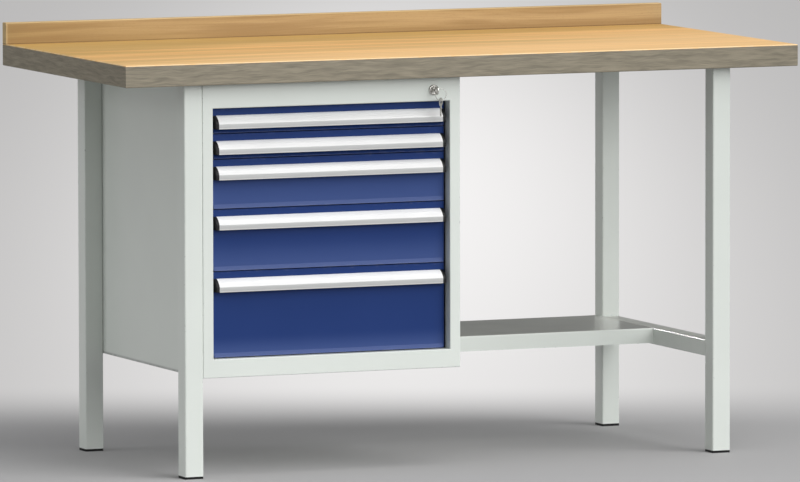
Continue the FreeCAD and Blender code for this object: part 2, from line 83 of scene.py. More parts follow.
def fade(tree, value, low, high, start=0.0, end=1.0):
    """A smooth step from start to end while the value goes from low to high."""
    ends = {"From Min": low, "From Max": high, "To Min": start, "To Max": end}
    inputs = {"Value": value, **ends}
    return wire(tree, "ShaderNodeMapRange", inputs, interpolation_type="SMOOTHSTEP").outputs[0]


def tint(tree, share, base, other):
    """A colour that goes from the base to the other one by a share."""
    ends = [(*colour, 1.0) if isinstance(colour, tuple) else colour for colour in (base, other)]
    inputs = {0: share, 6: ends[0], 7: ends[1]}
    return wire(tree, "ShaderNodeMix", inputs, data_type="RGBA").outputs[2]


def cloud(tree, place, cells, detail):
    """Noise with so many cells to the metre along each axis."""
    spread = wire(tree, "ShaderNodeMapping", {"Vector": place, "Scale": cells}).outputs[0]
    inputs = {"Vector": spread, "Scale": 1.0, "Detail": detail}
    return wire(tree, "ShaderNodeTexNoise", inputs).outputs[0]


def effect(name, sizes, results):
    """An empty group with a place, sizes with their usual values, and results; gives its tree and
    both ends.
    """
    tree = bpy.data.node_groups.new(name, "ShaderNodeTree")
    sockets = tree.interface
    sockets.new_socket(name="Place", in_out="INPUT", socket_type="NodeSocketVector")
    for size, usual in sizes.items():
        kind = "NodeSocketVector" if isinstance(usual, tuple) else "NodeSocketFloat"
        sockets.new_socket(name=size, in_out="INPUT", socket_type=kind).default_value = usual
    for result in results:
        sockets.new_socket(name=result, in_out="OUTPUT", socket_type="NodeSocketFloat")
    given, wanted = tree.nodes.new("NodeGroupInput"), tree.nodes.new("NodeGroupOutput")
    return tree, given.outputs, wanted.inputs


def use(tree, group, place, **sizes):
    """An effect placed in a material; gives its results by name."""
    return wire(tree, "ShaderNodeGroup", {"Place": place, **sizes}, node_tree=group).outputs


def surface(name):
    """A new material: its tree, its shader's inputs and the piece's own coordinates in metres."""
    material = bpy.data.materials.new(name)
    material.use_nodes = True
    tree = material.node_tree
    place = tree.nodes.new("ShaderNodeTexCoord").outputs["Object"]
    return material, tree, tree.nodes["Principled BSDF"].inputs, place


def roughen(tree, shader, height, depth):
    """A bump of a depth in metres on the shader's normal."""
    bump = wire(tree, "ShaderNodeBump", {"Height": height, "Distance": depth, "Strength": 1.0})
    tree.links.new(bump.outputs[0], shader["Normal"])


def orange_peel_effect():
    """Baked powder paint: small rounded waves, with a slow mottle over hand widths."""
    tree, given, results = effect("orange_peel", {"Cells": 620.0}, ("Height", "Mottle"))
    inputs = {"Vector": given["Place"], "Scale": given["Cells"], "Detail": 1.5}
    tree.links.new(wire(tree, "ShaderNodeTexNoise", inputs).outputs[0], results["Height"])
    tree.links.new(cloud(tree, given["Place"], (7.0, 7.0, 7.0), 2.0), results["Mottle"])
    return tree


def settled_dust_effect():
    """Workshop dust: it lies on what faces up, in soft patches over an even film; a heavy film also
    serves as painted shade.
    """
    tree, given, results = effect("settled_dust", {"Amount": 0.3, "Film": 0.0}, ("Cover",))
    upward = axes(tree, wire(tree, "ShaderNodeNewGeometry").outputs["Normal"])["Z"]
    patches = cloud(tree, given["Place"], (23.0, 23.0, 23.0), 5.0)
    patchy = fade(tree, patches, 0.35, 0.75, given["Film"])
    lying = times(tree, fade(tree, upward, 0.5, 0.95), patchy)
    tree.links.new(times(tree, lying, given["Amount"]), results["Cover"])
    return tree


def edge_wear_effect():
    """Rubbed edges of a boxy piece: the middle one of a point's three depths under the box's faces
    is small there.
    """
    sizes = {"Centre": (0.0, 0.0, 0.0), "Half": (1.0, 1.0, 1.0), "Width": 0.003}
    tree, given, results = effect("edge_wear", sizes, ("Rub", "Chip"))
    off = reckon_places(tree, "SUBTRACT", given["Place"], given["Centre"])
    far = reckon_places(tree, "ABSOLUTE", off)
    x, y, z = axes(tree, reckon_places(tree, "SUBTRACT", given["Half"], far))
    larger = reckon(tree, "MINIMUM", reckon(tree, "MAXIMUM", x, y), z)
    middle = reckon(tree, "MAXIMUM", reckon(tree, "MINIMUM", x, y), larger)
    uneven = cloud(tree, given["Place"], (70.0, 70.0, 70.0), 4.0)
    width = times(tree, given["Width"], fade(tree, uneven, 0.3, 0.7, 0.3, 1.7))
    rub = fade(tree, reckon(tree, "DIVIDE", middle, width), 0.2, 1.0, 1.0, 0.0)
    tree.links.new(rub, results["Rub"])
    spots = fade(tree, cloud(tree, given["Place"], (210.0, 210.0, 210.0), 3.0), 0.66, 0.70)
    tree.links.new(times(tree, rub, spots), results["Chip"])
    return tree


orange_peel = orange_peel_effect()
settled_dust = settled_dust_effect()
edge_wear = edge_wear_effect()
dust_and_shade_colour, bare_steel = (0.42, 0.41, 0.38), (0.16, 0.16, 0.165)
peel_depth, satin = 0.00005, 0.3


def powder_coat(name, colour, roughness, node, dust=0.1, film=0.0, rub=0.4, shine=0.5,
                foot=None, rise=0.0):
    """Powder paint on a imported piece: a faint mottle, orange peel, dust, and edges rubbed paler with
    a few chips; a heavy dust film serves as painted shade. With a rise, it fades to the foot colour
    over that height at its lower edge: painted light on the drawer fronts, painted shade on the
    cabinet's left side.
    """
    material, tree, shader, place = surface(name)
    low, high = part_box(node)
    peel = use(tree, orange_peel, place)
    deep = tuple(0.93 * c for c in colour)
    rubbed = tuple(c + 0.2 * (0.95 - c) for c in colour)
    tone = tint(tree, peel["Mottle"], deep, colour)
    if rise:
        height = axes(tree, place)["Z"]
        # The foot fade is painted light on the drawer fronts and painted shade on the cabinet's left
        # side.
        tone = tint(tree, fade(tree, height, low.z, low.z + rise, 1.0, 0.0), tone, foot)
    wear = use(tree, edge_wear, place, Centre=(low + high) / 2, Half=(high - low) / 2)
    tone = tint(tree, times(tree, wear["Rub"], rub), tone, rubbed)
    tone = tint(tree, times(tree, wear["Chip"], 0.5), tone, bare_steel)
    # A heavy film makes this cover painted shade as well as dust.
    cover = use(tree, settled_dust, place, Amount=dust, Film=film)["Cover"]
    tree.links.new(tint(tree, cover, tone, dust_and_shade_colour), shader["Base Color"])
    sheen = fade(tree, peel["Mottle"], 0.0, 1.0, roughness - 0.03, roughness + 0.03)
    tree.links.new(reckon(tree, "ADD", sheen, times(tree, cover, 0.3)), shader["Roughness"])
    shader["Specular IOR Level"].default_value = shine
    roughen(tree, shader, peel["Height"], peel_depth)
    return material


def dress(material, *names):
    """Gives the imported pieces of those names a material."""
    for name in names:
        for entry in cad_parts[name].material_slots:
            entry.material = material


light_grey = (0.75, 0.79, 0.745)
# A heavy even dust film, dark enough to serve as painted shade on tops under the worktop.
dust_and_shade_film = {"dust": 0.7, "film": 0.92}


def dress_grey(*names, roughness=satin, **finish):
    """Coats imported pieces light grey, each with wear along its own edges."""
    for name in names:
        dress(powder_coat("grey_" + name, light_grey, roughness, name, **finish), name)


dress_grey("front_left_leg", "front_right_leg", "rear_left_leg", "rear_right_leg", "leg_head_bars")
# Painted shade: the heavy dust film darkens the rail's top under the worktop.
dress_grey("right_cross_rail", roughness=0.24, **dust_and_shade_film)


def make_piece(name, grids, material, body, marks=None):
    """A mesh from grids of points, rows by columns, whose columns run round. A grid's rows run round
    too, or end in flat caps. Faces are turned outwards, and edges over 32 degrees stay sharp. Marks
    are values for its points.
    """
    faces, start = [], 0
    for points, rows_run_round in grids:
        rows, columns = points.shape[:2]
        index = start + np.arange(rows * columns).reshape(rows, columns)
        lap = np.hstack((index, index[:, :1]))
        lap = np.vstack((lap, lap[:1])) if rows_run_round else lap
        quads = np.stack((lap[:-1, :-1], lap[:-1, 1:], lap[1:, 1:], lap[1:, :-1]), axis=-1)
        faces += quads.reshape(-1, 4).tolist()
        faces += [] if rows_run_round else [index[0].tolist(), index[-1].tolist()]
        start += rows * columns
    mesh = bpy.data.meshes.new(name)
    vertices = np.concatenate([points.reshape(-1, 3) for points, _ in grids])
    mesh.from_pydata(vertices.tolist(), [], faces)
    for mark, values in (marks or {}).items():
        held = mesh.attributes.new(mark, "FLOAT", "POINT")
        held.data.foreach_set("value", np.ravel(values))
    shell = bmesh.new()
    shell.from_mesh(mesh)
    bmesh.ops.recalc_face_normals(shell, faces=shell.faces)
    shell.to_mesh(mesh)
    shell.free()
    mesh.shade_smooth()
    mesh.set_sharp_from_angle(angle=math.radians(32.0))
    mesh.materials.append(material)
    made = bpy.data.objects.new(name, mesh)
    bpy.context.scene.collection.objects.link(made)
    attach(made, body)
    return made


def grid_points(x, y, z):
    """A grid of points from three coordinates, each repeated to the shape that all of them need."""
    return np.stack(np.broadcast_arrays(x, y, z), axis=-1)


weld_leg, weld_root, weld_inset = 0.0034, 0.0003, 0.003


def weld_bead(corner, inward, upward, run):
    """A fillet weld along X. Its section is a quarter lens, leg / (cos a + sin a)^0.75 at an angle a
    from one plate. The leg swells by a tenth with each ripple and shrinks towards both ends as the
    root of 1 - 0.96 s^8.
    """
    along = np.linspace(-1.0, 1.0, 150)[:, None]
    leg = weld_leg * (1.0 + 0.1 * np.cos(44.0 * along)) * np.sqrt(1.0 - 0.96 * along**8)
    angle = np.linspace(0.0, math.pi / 2, 9)
    swell = leg / (np.cos(angle) + np.sin(angle)) ** 0.75
    root = np.full_like(along, -weld_root)
    off = np.hstack((root, swell * np.cos(angle)))
    rise = np.hstack((root, swell * np.sin(angle)))
    x = corner.x + run * along
    return grid_points(x, corner.y + inward * off, corner.z + upward * rise), False


rail_low, rail_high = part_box("right_cross_rail")
rail_middle = (rail_low.x + rail_high.x) / 2
bead_run = (rail_high.x - rail_low.x) / 2 - weld_inset
bead_grids = []
for end, inward in ((rail_low.y, 1.0), (rail_high.y, -1.0)):
    for height, upward in ((rail_low.z, -1.0), (rail_high.z, 1.0)):
        bead_grids.append(weld_bead(Vector((rail_middle, end, height)), inward, upward, bead_run))
bead_coat = powder_coat("grey_weld_beads", light_grey, satin, "right_cross_rail")
make_piece("rail_weld_beads", bead_grids, bead_coat, "bench")

# Foot caps: black polyethylene plugs that keep the tube ends from marking the floor. They are moulded
# with a fine grain and pressed into the tubes, and their rims are scuffed.
plastic_black, plastic_grain = (0.005, 0.005, 0.0055), 0.00004


def moulded_plastic(name, colour):
    """Black moulded plastic: a fine spark-eroded grain and greyer scuffs."""
    material, tree, shader, place = surface(name)
    grain = cloud(tree, place, (1500.0, 1500.0, 1500.0), 2.0)
    scuffs = fade(tree, cloud(tree, place, (90.0, 90.0, 30.0), 6.0), 0.58, 0.75)
    scuffed = tuple(c + 0.015 for c in colour)
    tree.links.new(tint(tree, scuffs, colour, scuffed), shader["Base Color"])
    tree.links.new(fade(tree, scuffs, 0.0, 1.0, 0.46, 0.62), shader["Roughness"])
    shader["Specular IOR Level"].default_value = 0.25
    roughen(tree, shader, grain, plastic_grain)
    return material


black_plastic = moulded_plastic("black_plastic", plastic_black)
dress(black_plastic, "foot_caps")

# Hanging cabinet: 1.2 mm sheet, with the front frame folded and welded at its corners, the sides and
# pans spot welded to it, and the whole powder coated in the colour of the legs and bolted between them.
# The left side is painted dark along its foot: painted shade at its lower edge.
for part in ("front_frame", "right_side", "back", "floor", "top"):
    dress_grey("cabinet_" + part)
# Painted shade: a dark band 7 mm high along the side's lower edge.
dress_grey("cabinet_left_side", foot=(0.25, 0.26, 0.25), rise=0.007)

# Runner posts and telescopic runners: cold-formed steel strip, zinc plated with a bluish passivation,
# as the screws and bolts are. The posts stand in the cabinet and carry the fixed members, in which
# the middle ones slide.
drawer_numbers = range(1, 6)


def drawn_lines_effect():
    """Fine lines left by rolling or drawing: noise drawn out along the first axis of its place."""
    tree, given, results = effect("drawn_lines", {}, ("Line", "Smudge"))
    tree.links.new(cloud(tree, given["Place"], (6.0, 1800.0, 1800.0), 3.0), results["Line"])
    smudge = cloud(tree, given["Place"], (9.0, 30.0, 30.0), 5.0)
    tree.links.new(fade(tree, smudge, 0.4, 0.7), results["Smudge"])
    return tree


drawn_lines = drawn_lines_effect()


def bright_metal(name, colour, other, roughness, turn, depth):
    """Metal in two close colours with drawn lines of a depth along X, turned by a turn, and smudged
    in its gloss.
    """
    material, tree, shader, place = surface(name)
    along = wire(tree, "ShaderNodeMapping", {"Vector": place, "Rotation": turn}).outputs[0]
    lines = use(tree, drawn_lines, along)
    tree.links.new(tint(tree, lines["Smudge"], colour, other), shader["Base Color"])
    shader["Metallic"].default_value = 1.0
    streak = fade(tree, lines["Line"], 0.3, 0.7, 0.8 * roughness, 1.2 * roughness)
    dulled = reckon(tree, "ADD", streak, times(tree, lines["Smudge"], 0.08))
    tree.links.new(dulled, shader["Roughness"])
    roughen(tree, shader, lines["Line"], depth)
    return material


zinc_blue, zinc_yellow = (0.50, 0.53, 0.58), (0.58, 0.58, 0.54)
along_depth, rolled_depth = (0.0, 0.0, math.pi / 2), 0.00002
zinc = bright_metal("zinc_plate", zinc_blue, zinc_yellow, 0.34, along_depth, rolled_depth)
dress(zinc, "runner_posts", "fixed_runners", "frame_bolts", "wood_screws")
for number in drawer_numbers:
    dress(zinc, f"middle_runners_{number}", f"drawer_{number}_runners")

# Drawer trays: 1 mm sheet folded up on its sides and spot welded at the corners, coated grey as the
# cabinet is. Each tray hangs between its two drawer members and carries the front.
for number in drawer_numbers:
    dress_grey(f"drawer_{number}_tray")

# Drawer fronts: sheet folded to a pan with a band kicked out along its foot, powder coated gentian blue
# and fixed to the tray. The three deep ones are painted paler towards the foot: painted light, darker
# under the handle above and paler at the foot.
gentian_blue, lit_foot_blue = (0.0148, 0.041, 0.169), (0.048, 0.083, 0.238)
# Painted light: how high the paler foot reaches on each front, none on the two shallow ones.
lit_foot_rises = 0.0, 0.0, 0.1, 0.07, 0.045
blue_finish = {"dust": 0.0, "rub": 0.15, "shine": 0.15, "foot": lit_foot_blue}
for number, rise in zip(drawer_numbers, lit_foot_rises):
    front = f"drawer_{number}_front"
    dress(powder_coat("blue_" + front, gentian_blue, satin, front, rise=rise, **blue_finish), front)

# Handle strips: an aluminium extrusion with a crowned slope painted bright as a highlight, a matt lip
# with a beaded rim to pull on, and a leg along the drawer front, where it is pressed on. It is clear
# anodised.
strip = {"reach": 0.018, "height": 0.027, "lip": 0.011, "wall": 0.002, "leg": 0.015,
         "crown": 0.0022, "bead": 0.003, "bead_height": 0.0016, "bead_root": 0.0028}
drawn_depth = 0.00001


def rounded(corners, cuts, steps=7):
    """A closed outline: each corner C is cut off at A and B, its own distance away along both sides,
    and bridged by (1-t)^2 A + 2t(1-t) C + t^2 B.
    """
    corners, cuts = np.asarray(corners, float), np.asarray(cuts, float)[:, None]
    ahead = np.roll(corners, -1, axis=0) - corners
    behind = np.roll(corners, 1, axis=0) - corners
    ahead /= np.linalg.norm(ahead, axis=1, keepdims=True)
    behind /= np.linalg.norm(behind, axis=1, keepdims=True)
    t = np.linspace(0.0, 1.0, steps)[None, :, None]
    first, last = (corners + cuts * behind)[:, None], (corners + cuts * ahead)[:, None]
    bridge = (1 - t) ** 2 * first + 2 * t * (1 - t) * corners[:, None] + t**2 * last
    return bridge.reshape(-1, 2)


fall = strip["height"] - strip["lip"]
chord = math.hypot(strip["reach"], fall)
crown_way = np.array((fall, -strip["reach"])) / chord
crown = np.array((strip["reach"], fall)) / 2 + 2 * strip["crown"] * crown_way
millimetres, crease_above, crease_below = 0.001, 0.0006, 0.0004


def strip_outline():
    """The extrusion's section as reach and drop from its top rear edge: crowned slope, lip, bead,
    underside, leg.
    """
    reach, height, wall, leg = (strip[part] for part in ("reach", "height", "wall", "leg"))
    inner, depth, bead = reach - wall, wall * chord / reach, reach - strip["bead"]
    high, low = (wall, fall / reach * wall + depth), (inner, fall / reach * inner + depth)
    under = (np.array(high) + low) / 2 + 1.2 * strip["crown"] * crown_way
    corners = [(0, 0), crown, (reach, fall), (reach, height), (bead, height)]
    corners += [(bead, height - strip["bead_height"]), (inner, height - strip["bead_root"])]
    corners += [low, under, high, (wall, leg), (0, leg)]
    cuts = np.array([0.3, 11.3, 1.0, 0.6, 0.6, 0.5, 0.5, 1.0, 8.0, 1.0, 0.3, 0.3])
    return rounded(corners, cuts * millimetres)


def anodised(name, brow, slope, lip, rim, fingered):
    """Clear anodised aluminium in drawn lines, with finger marks: a slope painted as a highlight,
    brightest at its brow, down to a crease, then a darker matt lip and a paler rim.
    """
    material, tree, shader, place = surface(name)
    drop = wire(tree, "ShaderNodeAttribute", attribute_name="drop").outputs["Fac"]
    lines = use(tree, drawn_lines, place)
    on_lip = fade(tree, drop, fall - crease_above, fall + crease_below)
    rim_start, rim_end = (strip["height"] - strip[part] for part in ("bead_root", "bead_height"))
    on_rim = fade(tree, drop, rim_start, rim_end)
    # Painted highlight: the slope is brightest at its brow and darker down to the crease.
    tone = tint(tree, fade(tree, drop, 0.0, fall), brow, slope)
    tone = tint(tree, on_rim, tint(tree, on_lip, tone, lip), rim)
    marked = times(tree, lines["Smudge"], 0.12)
    tree.links.new(tint(tree, marked, tone, fingered), shader["Base Color"])
    tree.links.new(fade(tree, on_lip, 0.0, 1.0, 0.1, 0.4), shader["Metallic"])
    tree.links.new(fade(tree, lines["Line"], 0.3, 0.7, 0.34, 0.46), shader["Roughness"])
    roughen(tree, shader, lines["Line"], drawn_depth)
    return material


# Painted highlight: the slope's tones are much brighter than the lip's, for the light on the slope.
highlight_tones = {"brow": (0.95, 0.95, 0.945), "slope": (0.72, 0.72, 0.715)}
lip_tones = {"lip": (0.49, 0.495, 0.49), "rim": (0.66, 0.665, 0.66)}
aluminium = anodised("anodised_aluminium", **highlight_tones, **lip_tones, fingered=(0.42, 0.42, 0.43))
section = strip_outline()
for number in drawer_numbers:
    low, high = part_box(f"drawer_{number}_handle")
    ends = np.array((low.x, high.x))[:, None]
    points = grid_points(ends, high.y - section[:, 0], high.z - section[:, 1])
    marks = {"drop": high.z - points[..., 2]}
    made = make_piece(f"handle_strip_{number}", [(points, False)], aluminium, f"drawer_{number}",
                      marks)
    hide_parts(f"drawer_{number}_handle")

# Handle end caps: black moulded plastic that closes both ends of a strip and covers its sawn edges.
# They are held by a push fit, and their outer edge is rounded.
cap_round, cap_foot = 0.0016, 0.003


def cap_outline():
    """The cap's outline as reach and drop: the strip's slope and lip, closed along the drawer front."""
    reach, height, leg = strip["reach"], strip["height"], strip["leg"]
    corners = [(0, 0), crown, (reach, fall), (reach, height), (cap_foot, height), (0, leg)]
    return rounded(corners, np.array([0.3, 11.3, 1.0, 0.9, 1.0, 0.8]) * millimetres)


def cap_grid(inner, outer, rear, top):
    """The outline carried from the inner to the outer end. Over the last bit, at an angle a, it draws
    in towards its middle by round (1 - cos a) and goes out by round sin a.
    """
    outline, way = cap_outline(), math.copysign(1.0, outer - inner)
    angle = np.linspace(0.0, 0.48 * math.pi, 7)
    out = np.concatenate(([inner], outer - way * cap_round * (1 - np.sin(angle))))[:, None]
    draw = np.concatenate(([0.0], cap_round * (1 - np.cos(angle))))[:, None, None]
    spokes = outline - outline.mean(axis=0)
    drawn = outline - draw * spokes / np.linalg.norm(spokes, axis=1, keepdims=True)
    return grid_points(out, rear - drawn[..., 0], top - drawn[..., 1]), False


for number in drawer_numbers:
    low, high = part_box(f"drawer_{number}_handle_caps")
    strip_low, strip_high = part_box(f"drawer_{number}_handle")
    ends = (strip_low.x, low.x), (strip_high.x, high.x)
    caps = [cap_grid(inner, outer, high.y, high.z) for inner, outer in ends]
    made = make_piece(f"handle_end_caps_{number}", caps, black_plastic, f"drawer_{number}")
    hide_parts(f"drawer_{number}_handle_caps")

# Lock: a nickel-plated brass cylinder in the top rail with a turned rosette, held by a nut behind the
# sheet. Its plug turns a cam, which lifts a zinc-plated bar that blocks the drawers. The bar runs in
# two guides on the cabinet's right side.
nickel_warm, nickel_dull = (0.60, 0.59, 0.56), (0.52, 0.51, 0.48)
along_width, polished_depth = (0.0, 0.0, 0.0), 0.000004
nickel = bright_metal("nickel_plate", nickel_warm, nickel_dull, 0.2, along_width, polished_depth)
lock_low, lock_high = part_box("lock_cylinder")
lock_x, lock_z = (lock_low.x + lock_high.x) / 2, (lock_low.z + lock_high.z) / 2
lock_front, lock_length = lock_low.y, lock_high.y - lock_low.y
rosette, barrel, bore, rim_depth, dish_depth = 0.011, 0.009, 0.00606, 0.003, 0.0009
bevel_depth, bevel_width, dish_mouth, dish_floor = 0.0014, 0.0016, 0.0074, 0.0068


def turned(profile, x, z):
    """A closed profile of radius and depth turned about an axis along Y."""
    angle = np.linspace(0.0, 2 * math.pi, 96, endpoint=False)[:, None]
    radius, depth = profile.T
    return grid_points(x + radius * np.cos(angle), depth, z + radius * np.sin(angle)), True


lock_corners = [(bore, lock_length), (barrel, lock_length), (barrel, rim_depth), (rosette, rim_depth)]
lock_corners += [(rosette, bevel_depth), (rosette - bevel_width, 0.0), (dish_mouth, 0.0)]
lock_corners += [(dish_floor, dish_depth), (bore, dish_depth)]
lock_cuts = np.array([0.3, 0.3, 0.3, 0.3, 0.6, 0.8, 0.3, 0.3, 0.1])
lock_profile = rounded(lock_corners, lock_cuts * millimetres) + (0.0, lock_front)
lock_grids = [turned(lock_profile, lock_x, lock_z)]
made = make_piece("lock_barrel", lock_grids, nickel, "bench")
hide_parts("lock_cylinder")
dress(nickel, "lock_nut", "lock_plug")
dress(zinc, "lock_cam", "lock_bar", "lock_bar_guides")

# Keys: stamped from brass and nickel plated, one in the lock and a spare one on a split ring of flat
# spring wire, which is threaded through both bows.
bow_radius, bow_hole, key_half, shank_half = 0.009, 0.0045, 0.0009, 0.003
neck, key_reach, least_height, tooth = 0.00675, 0.031, 0.001, 0.0017
groove, groove_half, groove_mouth = 0.55 * key_half, 0.0006, 0.0009
plate_round, wire_round, spare_drop = 0.0004, 0.00018, 0.0028


def key_grids(teeth):
    """A flat key with its bow's middle at the origin and its blade along +Y: a rounded plate section
    carried round the bow, and a grooved section carried along the blade, whose height falls by the
    teeth and towards the tip.
    """
    plate = [(bow_hole, -key_half), (bow_radius, -key_half)]
    plate += [(bow_radius, key_half), (bow_hole, key_half)]
    radius, side = rounded(plate, [plate_round] * 4).T
    angle = np.linspace(0.0, 2 * math.pi, 72, endpoint=False)[:, None]
    bow = grid_points(side, radius * np.cos(angle), radius * np.sin(angle))
    blade = [(key_half, -shank_half), (key_half, -groove_mouth), (groove, -groove_half)]
    blade += [(groove, groove_half), (key_half, groove_mouth), (key_half, shank_half)]
    blade += [(-key_half, shank_half), (-key_half, -shank_half)]
    cuts = np.array([0.3, 0.1, 0.1, 0.1, 0.1, 0.3, 0.3, 0.3])
    side, height = rounded(blade, cuts * millimetres).T
    along = np.linspace(0.0, 1.0, 90)[:, None]
    saw = np.abs(np.sin(21.0 * along + 1.3 * np.sin(9.0 * along)))
    notch = teeth * np.clip((along - 0.25) / 0.1, 0.0, 1.0) * saw
    height = height * (1.0 - 0.62 * np.clip((along - 0.92) / 0.08, 0.0, 1.0))
    cut = np.maximum(height - notch, least_height)
    height = np.where(height > least_height, cut, height)
    shank = grid_points(side, neck + (key_reach - neck) * along, height)
    return [(bow, True), (shank, False)]


def placed(grids, middle, turn):
    """Grids turned by a matrix and moved to a middle."""
    turn, middle = np.array(turn).T, np.array(middle)
    return [(points @ turn + middle, rows_run_round) for points, rows_run_round in grids]


key_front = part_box("key")[0].y
bow_middle = Vector((lock_x, key_front + bow_radius, lock_z))
locked = placed(key_grids(0.0), bow_middle, Matrix.Identity(3))
made = make_piece("lock_key", locked, nickel, "key")
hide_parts("key")

ring_low, ring_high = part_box("key_ring")
ring_middle, ring_width = (ring_low + ring_high) / 2, ring_high.y - ring_low.y
ring_radius = (ring_high.x - ring_low.x - ring_width) / 2
ring_gap, ring_start = 0.45, 2.2


def split_ring():
    """Two turns of flat wire about Y, side by side. Between them the wire crosses over as tanh of the
    angle.
    """
    angle = np.linspace(ring_gap, 4 * math.pi - ring_gap, 260)[:, None]
    half, flat = ring_width / 2, 0.46 * ring_width / 2
    wire_corners = [(-half, -flat), (half, -flat), (half, flat), (-half, flat)]
    out, side = rounded(wire_corners, [wire_round] * 4, 5).T
    crossing = 0.52 * half * np.tanh((angle - 2 * math.pi) / 0.2)
    radius, turn = ring_radius + out, angle + ring_start
    x, z = ring_middle.x + radius * np.cos(turn), ring_middle.z + radius * np.sin(turn)
    return grid_points(x, ring_middle.y + crossing + side, z), False


made = make_piece("split_ring", [split_ring()], nickel, "key_ring")
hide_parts("key_ring")

spare_middle = ring_middle - Vector((0.0, 0.0, ring_radius + spare_drop))
spare_yaw = math.radians(45.0)
across, down = Vector((math.sin(spare_yaw), -math.cos(spare_yaw), 0.0)), Vector((0.0, 0.0, -1.0))
spare_turn = Matrix((across, down, across.cross(down))).transposed()
hanging = placed(key_grids(tooth), spare_middle, spare_turn)
make_piece("spare_key", hanging, nickel, "key_ring")

# Lower shelf: a pan of 1.5 mm sheet with its edges folded down, coated as the legs are. It is bolted to
# the cabinet and to the cross rail. Its top carries an even dark dust film, which also paints the shade
# under the worktop.
dress_grey("lower_shelf", roughness=0.04, **dust_and_shade_film)

# Worktop: a 45 mm board faced with beech and oiled, with grey-brown wood-grain bands glued along its
# edges. It is screwed on from below, through the bars on the leg heads and the cabinet's top.


def wood_grain_effect():
    """Grain along X: broad soft figure in bent bands that drift to one tone, fine fibres, and the
    short dark flecks of the rays. The edge band's grain runs along whichever of X and Y the edge
    does, as it depends on their sum and the height alone.
    """
    outputs = "Figure", "Streak", "Fibre", "Fleck", "Band"
    tree, given, results = effect("wood_grain", {"Drift": 0.0}, outputs)
    wander = times(tree, cloud(tree, given["Place"], (0.9, 1.6, 1.6), 1.0), 0.07)
    shift = wire(tree, "ShaderNodeCombineXYZ", {"Y": wander, "Z": wander}).outputs[0]
    bent = reckon_places(tree, "ADD", given["Place"], shift)
    drifting = reckon(tree, "ADD", cloud(tree, bent, (0.8, 9.0, 9.0), 2.0), given["Drift"])
    tree.links.new(fade(tree, drifting, 0.33, 0.67), results["Figure"])
    streaks = cloud(tree, bent, (1.5, 46.0, 46.0), 4.0)
    tree.links.new(fade(tree, streaks, 0.34, 0.66), results["Streak"])
    tree.links.new(cloud(tree, bent, (6.0, 420.0, 420.0), 3.0), results["Fibre"])
    flecks = cloud(tree, given["Place"], (130.0, 900.0, 900.0), 1.0)
    tree.links.new(fade(tree, flecks, 0.62, 0.72), results["Fleck"])
    x, y, z = axes(tree, given["Place"])
    along = reckon(tree, "ADD", x, y)
    edge = wire(tree, "ShaderNodeCombineXYZ", {"X": along, "Z": z}).outputs[0]
    ripple = times(tree, cloud(tree, edge, (16.0, 1.0, 24.0), 2.0), 0.016)
    height = reckon(tree, "ADD", z, ripple)
    waved = wire(tree, "ShaderNodeCombineXYZ", {"X": along, "Z": height}).outputs[0]
    threads = fade(tree, cloud(tree, waved, (24.0, 1.0, 800.0), 2.0), 0.3, 0.7, -0.12, 0.12)
    waves = reckon(tree, "ADD", cloud(tree, waved, (13.0, 1.0, 130.0), 5.0), threads)
    tree.links.new(fade(tree, waves, 0.2, 0.8), results["Band"])
    return tree


wood_grain = wood_grain_effect()
ray_fleck, fibre_depth = (0.26, 0.14, 0.05), 0.00006
arris_width, band_start, band_full = 0.003, 0.0016, 0.0024


def beech_face(tree, place, drift_and_light, tones, streaks):
    """Beech across its figure from a yellow to a rosy tone, streaked and flecked darker; gives its
    colour and grain.
    """
    yellow, rose, dark = tones
    grain = use(tree, wood_grain, place, Drift=drift_and_light)
    face = tint(tree, grain["Figure"], yellow, rose)
    face = tint(tree, fade(tree, grain["Streak"], 0.0, 1.0, 0.0, streaks), face, dark)
    face = tint(tree, fade(tree, grain["Fibre"], 0.4, 0.7, 0.0, 0.2), face, dark)
    return tint(tree, times(tree, grain["Fleck"], 0.3), face, ray_fleck), grain


def oil_finish(tree, shader, colour, fibre):
    """An oiled surface of a colour: satin, and a little raised along its fibres."""
    tree.links.new(colour, shader["Base Color"])
    tree.links.new(fade(tree, fibre, 0.3, 0.7, 0.42, 0.56), shader["Roughness"])
    shader["Specular IOR Level"].default_value = 0.3
    roughen(tree, shader, fibre, fibre_depth)


def worktop_beech(tones, sheen_tone, arris_highlight, band_light, band_dark):
    """The worktop's finish: beech painted rosier and paler to the front and right and darker to the
    rear, as painted light with a painted sheen; rubbed along its arris and painted bright there, as
    wear and a painted highlight; and below that the grey-brown edge bands.
    """
    material, tree, shader, place = surface("worktop_beech")
    low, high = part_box("worktop")
    x, y, height = axes(tree, place)
    # Painted light: the drift grows to the front and right, and with it the beech turns rosier.
    drift_and_light = reckon(tree, "SUBTRACT", times(tree, x, 0.1), times(tree, y, 0.42))
    face, grain = beech_face(tree, place, drift_and_light, tones, 0.45)
    # Painted sheen: the front and right are paled further.
    face = tint(tree, fade(tree, drift_and_light, -0.05, 0.12, 0.0, 0.5), face, sheen_tone)
    box = {"Centre": (low + high) / 2, "Half": (high - low) / 2}
    wear = use(tree, edge_wear, place, **box, Width=arris_width)
    # Rubbed wear along the arris, painted pale as a highlight too.
    face = tint(tree, times(tree, wear["Rub"], 0.5), face, arris_highlight)
    edge = tint(tree, grain["Band"], band_dark, band_light)
    on_edge = fade(tree, height, high.z - band_full, high.z - band_start, 1.0, 0.0)
    oil_finish(tree, shader, tint(tree, on_edge, face, edge), grain["Fibre"])
    return material


top_tones = (0.58, 0.36, 0.106), (0.97, 0.55, 0.2), (0.50, 0.28, 0.085)
